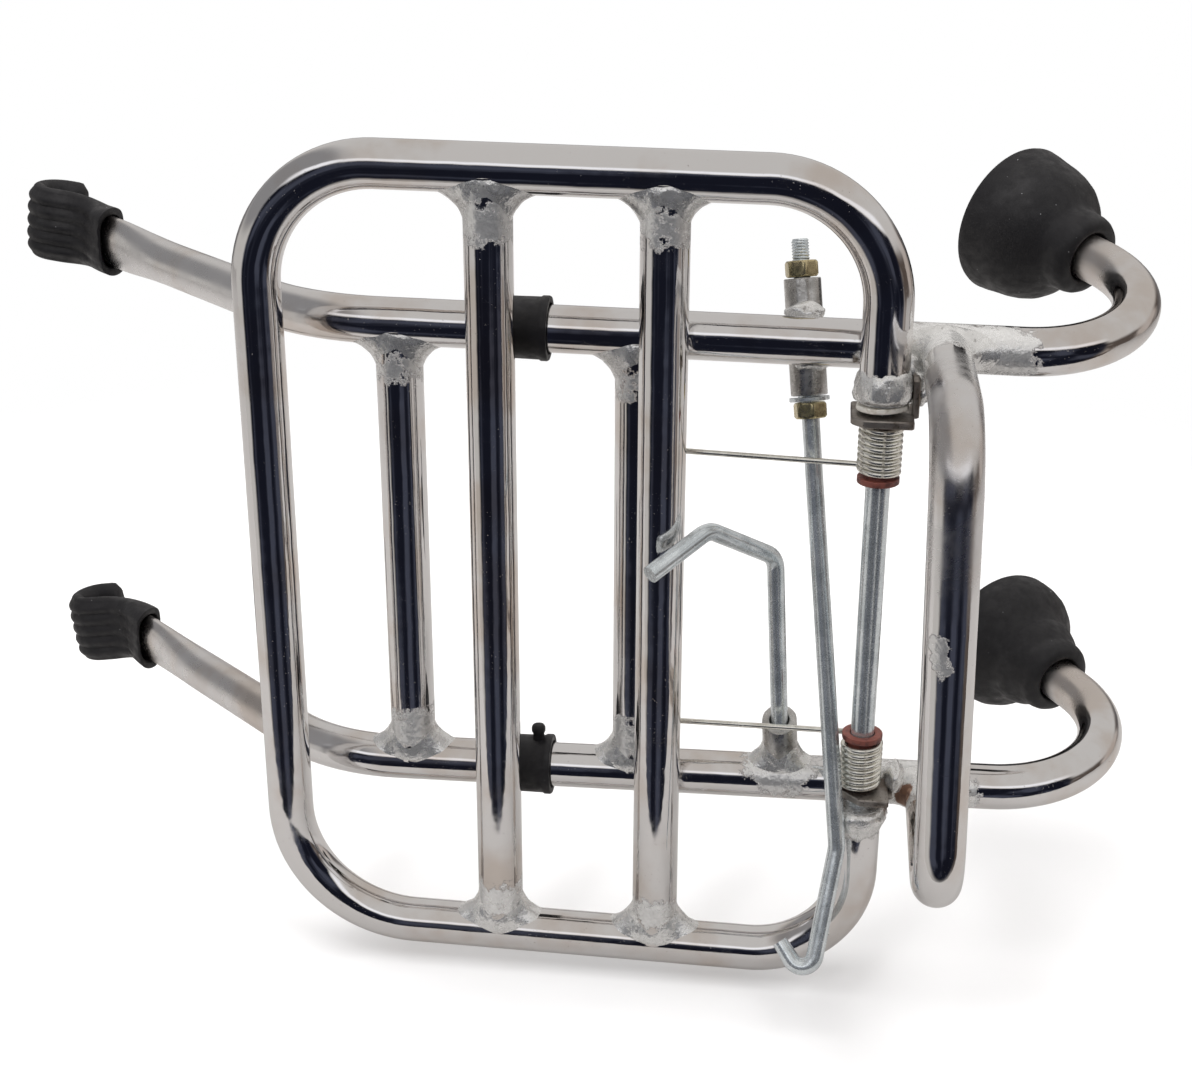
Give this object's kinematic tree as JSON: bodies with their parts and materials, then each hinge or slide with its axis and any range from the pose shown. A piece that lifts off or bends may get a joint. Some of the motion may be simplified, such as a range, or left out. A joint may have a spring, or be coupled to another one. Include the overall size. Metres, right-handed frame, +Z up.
{
  "type": "folding front luggage carrier",
  "caption": "Chromed tubular scooter front carrier with a fold-down sprung rack, rubber covered hooks, suction cups and two hooked rods.",
  "frame": {"origin": "midway between the two hook seats, on the line where the shield's top edge bears", "axes": "+Z up as installed, towards the hooks; -Y forward, the side that the rack folds to; +X the rider's left"},
  "size_m": [0.2958, 0.2235, 0.4391],
  "materials": {
    "chrome": "bright plating, worn and lightly pitted",
    "sleeve_steel": "plated over rough welding",
    "strap_steel": "flat strap hidden in the boot",
    "lug_steel": "dull plating gone brown",
    "zinc_rod": "bluish zinc plate",
    "spring_steel": "plated spring wire",
    "yellow_zinc": "yellow passivated zinc",
    "black_rubber": "matte moulded rubber",
    "white_nylon": "off-white, slightly soiled",
    "brown_bush": "red-brown fibre"
  },
  "bodies": {
    "frame": {"left_side_tube": "chrome", "right_side_tube": "chrome", "upper_crossbar": "chrome", "lower_crossbar": "chrome", "support_bar": "chrome", "left_hinge_lug": "lug_steel", "right_hinge_lug": "lug_steel", "left_torsion_spring": "spring_steel", "right_torsion_spring": "spring_steel", "left_rack_buffer": "black_rubber", "right_rack_buffer": "black_rubber", "left_hook_strap": "strap_steel", "right_hook_strap": "strap_steel", "left_hook_boot": "black_rubber", "right_hook_boot": "black_rubber", "left_suction_cup": "black_rubber", "right_suction_cup": "black_rubber", "long_rod_sleeve": "sleeve_steel", "short_rod_sleeve": "sleeve_steel"},
    "rack": {"rack_frame": "chrome", "rack_upper_bar": "chrome", "rack_lower_bar": "chrome", "hinge_rod": "zinc_rod", "left_hinge_bush": "brown_bush", "right_hinge_bush": "brown_bush", "hinge_washer": "white_nylon"},
    "long_rod": {"long_hook_rod": "zinc_rod", "long_rod_outer_nut": "yellow_zinc", "long_rod_inner_nut": "yellow_zinc", "long_rod_washer": "zinc_rod"},
    "short_rod": {"short_hook_rod": "zinc_rod"}
  },
  "joints": [
    {"name": "rack_fold", "type": "hinge", "parent": "frame", "child": "rack", "pos_m": [0, -0.13894, -0.3325], "axis": [1, 0, 0], "range_deg": [0, 94.5], "stiffness_Nm_per_rad": 0.8, "springref_deg": -28.65},
    {"name": "long_rod_turn", "type": "hinge", "parent": "frame", "child": "long_rod", "pos_m": [0.0809, -0.10484, -0.3065], "axis": [0.9597, 0.2591, 0.1085], "range_deg": [0, 60]},
    {"name": "short_rod_turn", "type": "hinge", "parent": "frame", "child": "short_rod", "pos_m": [-0.0572, -0.11974, -0.3037], "axis": [0.9982, 0, 0.0599], "range_deg": [0, 95]}
  ],
  "couplings": [
    {"joint": "long_rod_turn", "follows": "rack_fold", "ratio": 0.6},
    {"joint": "short_rod_turn", "follows": "rack_fold", "ratio": 0.98}
  ]
}
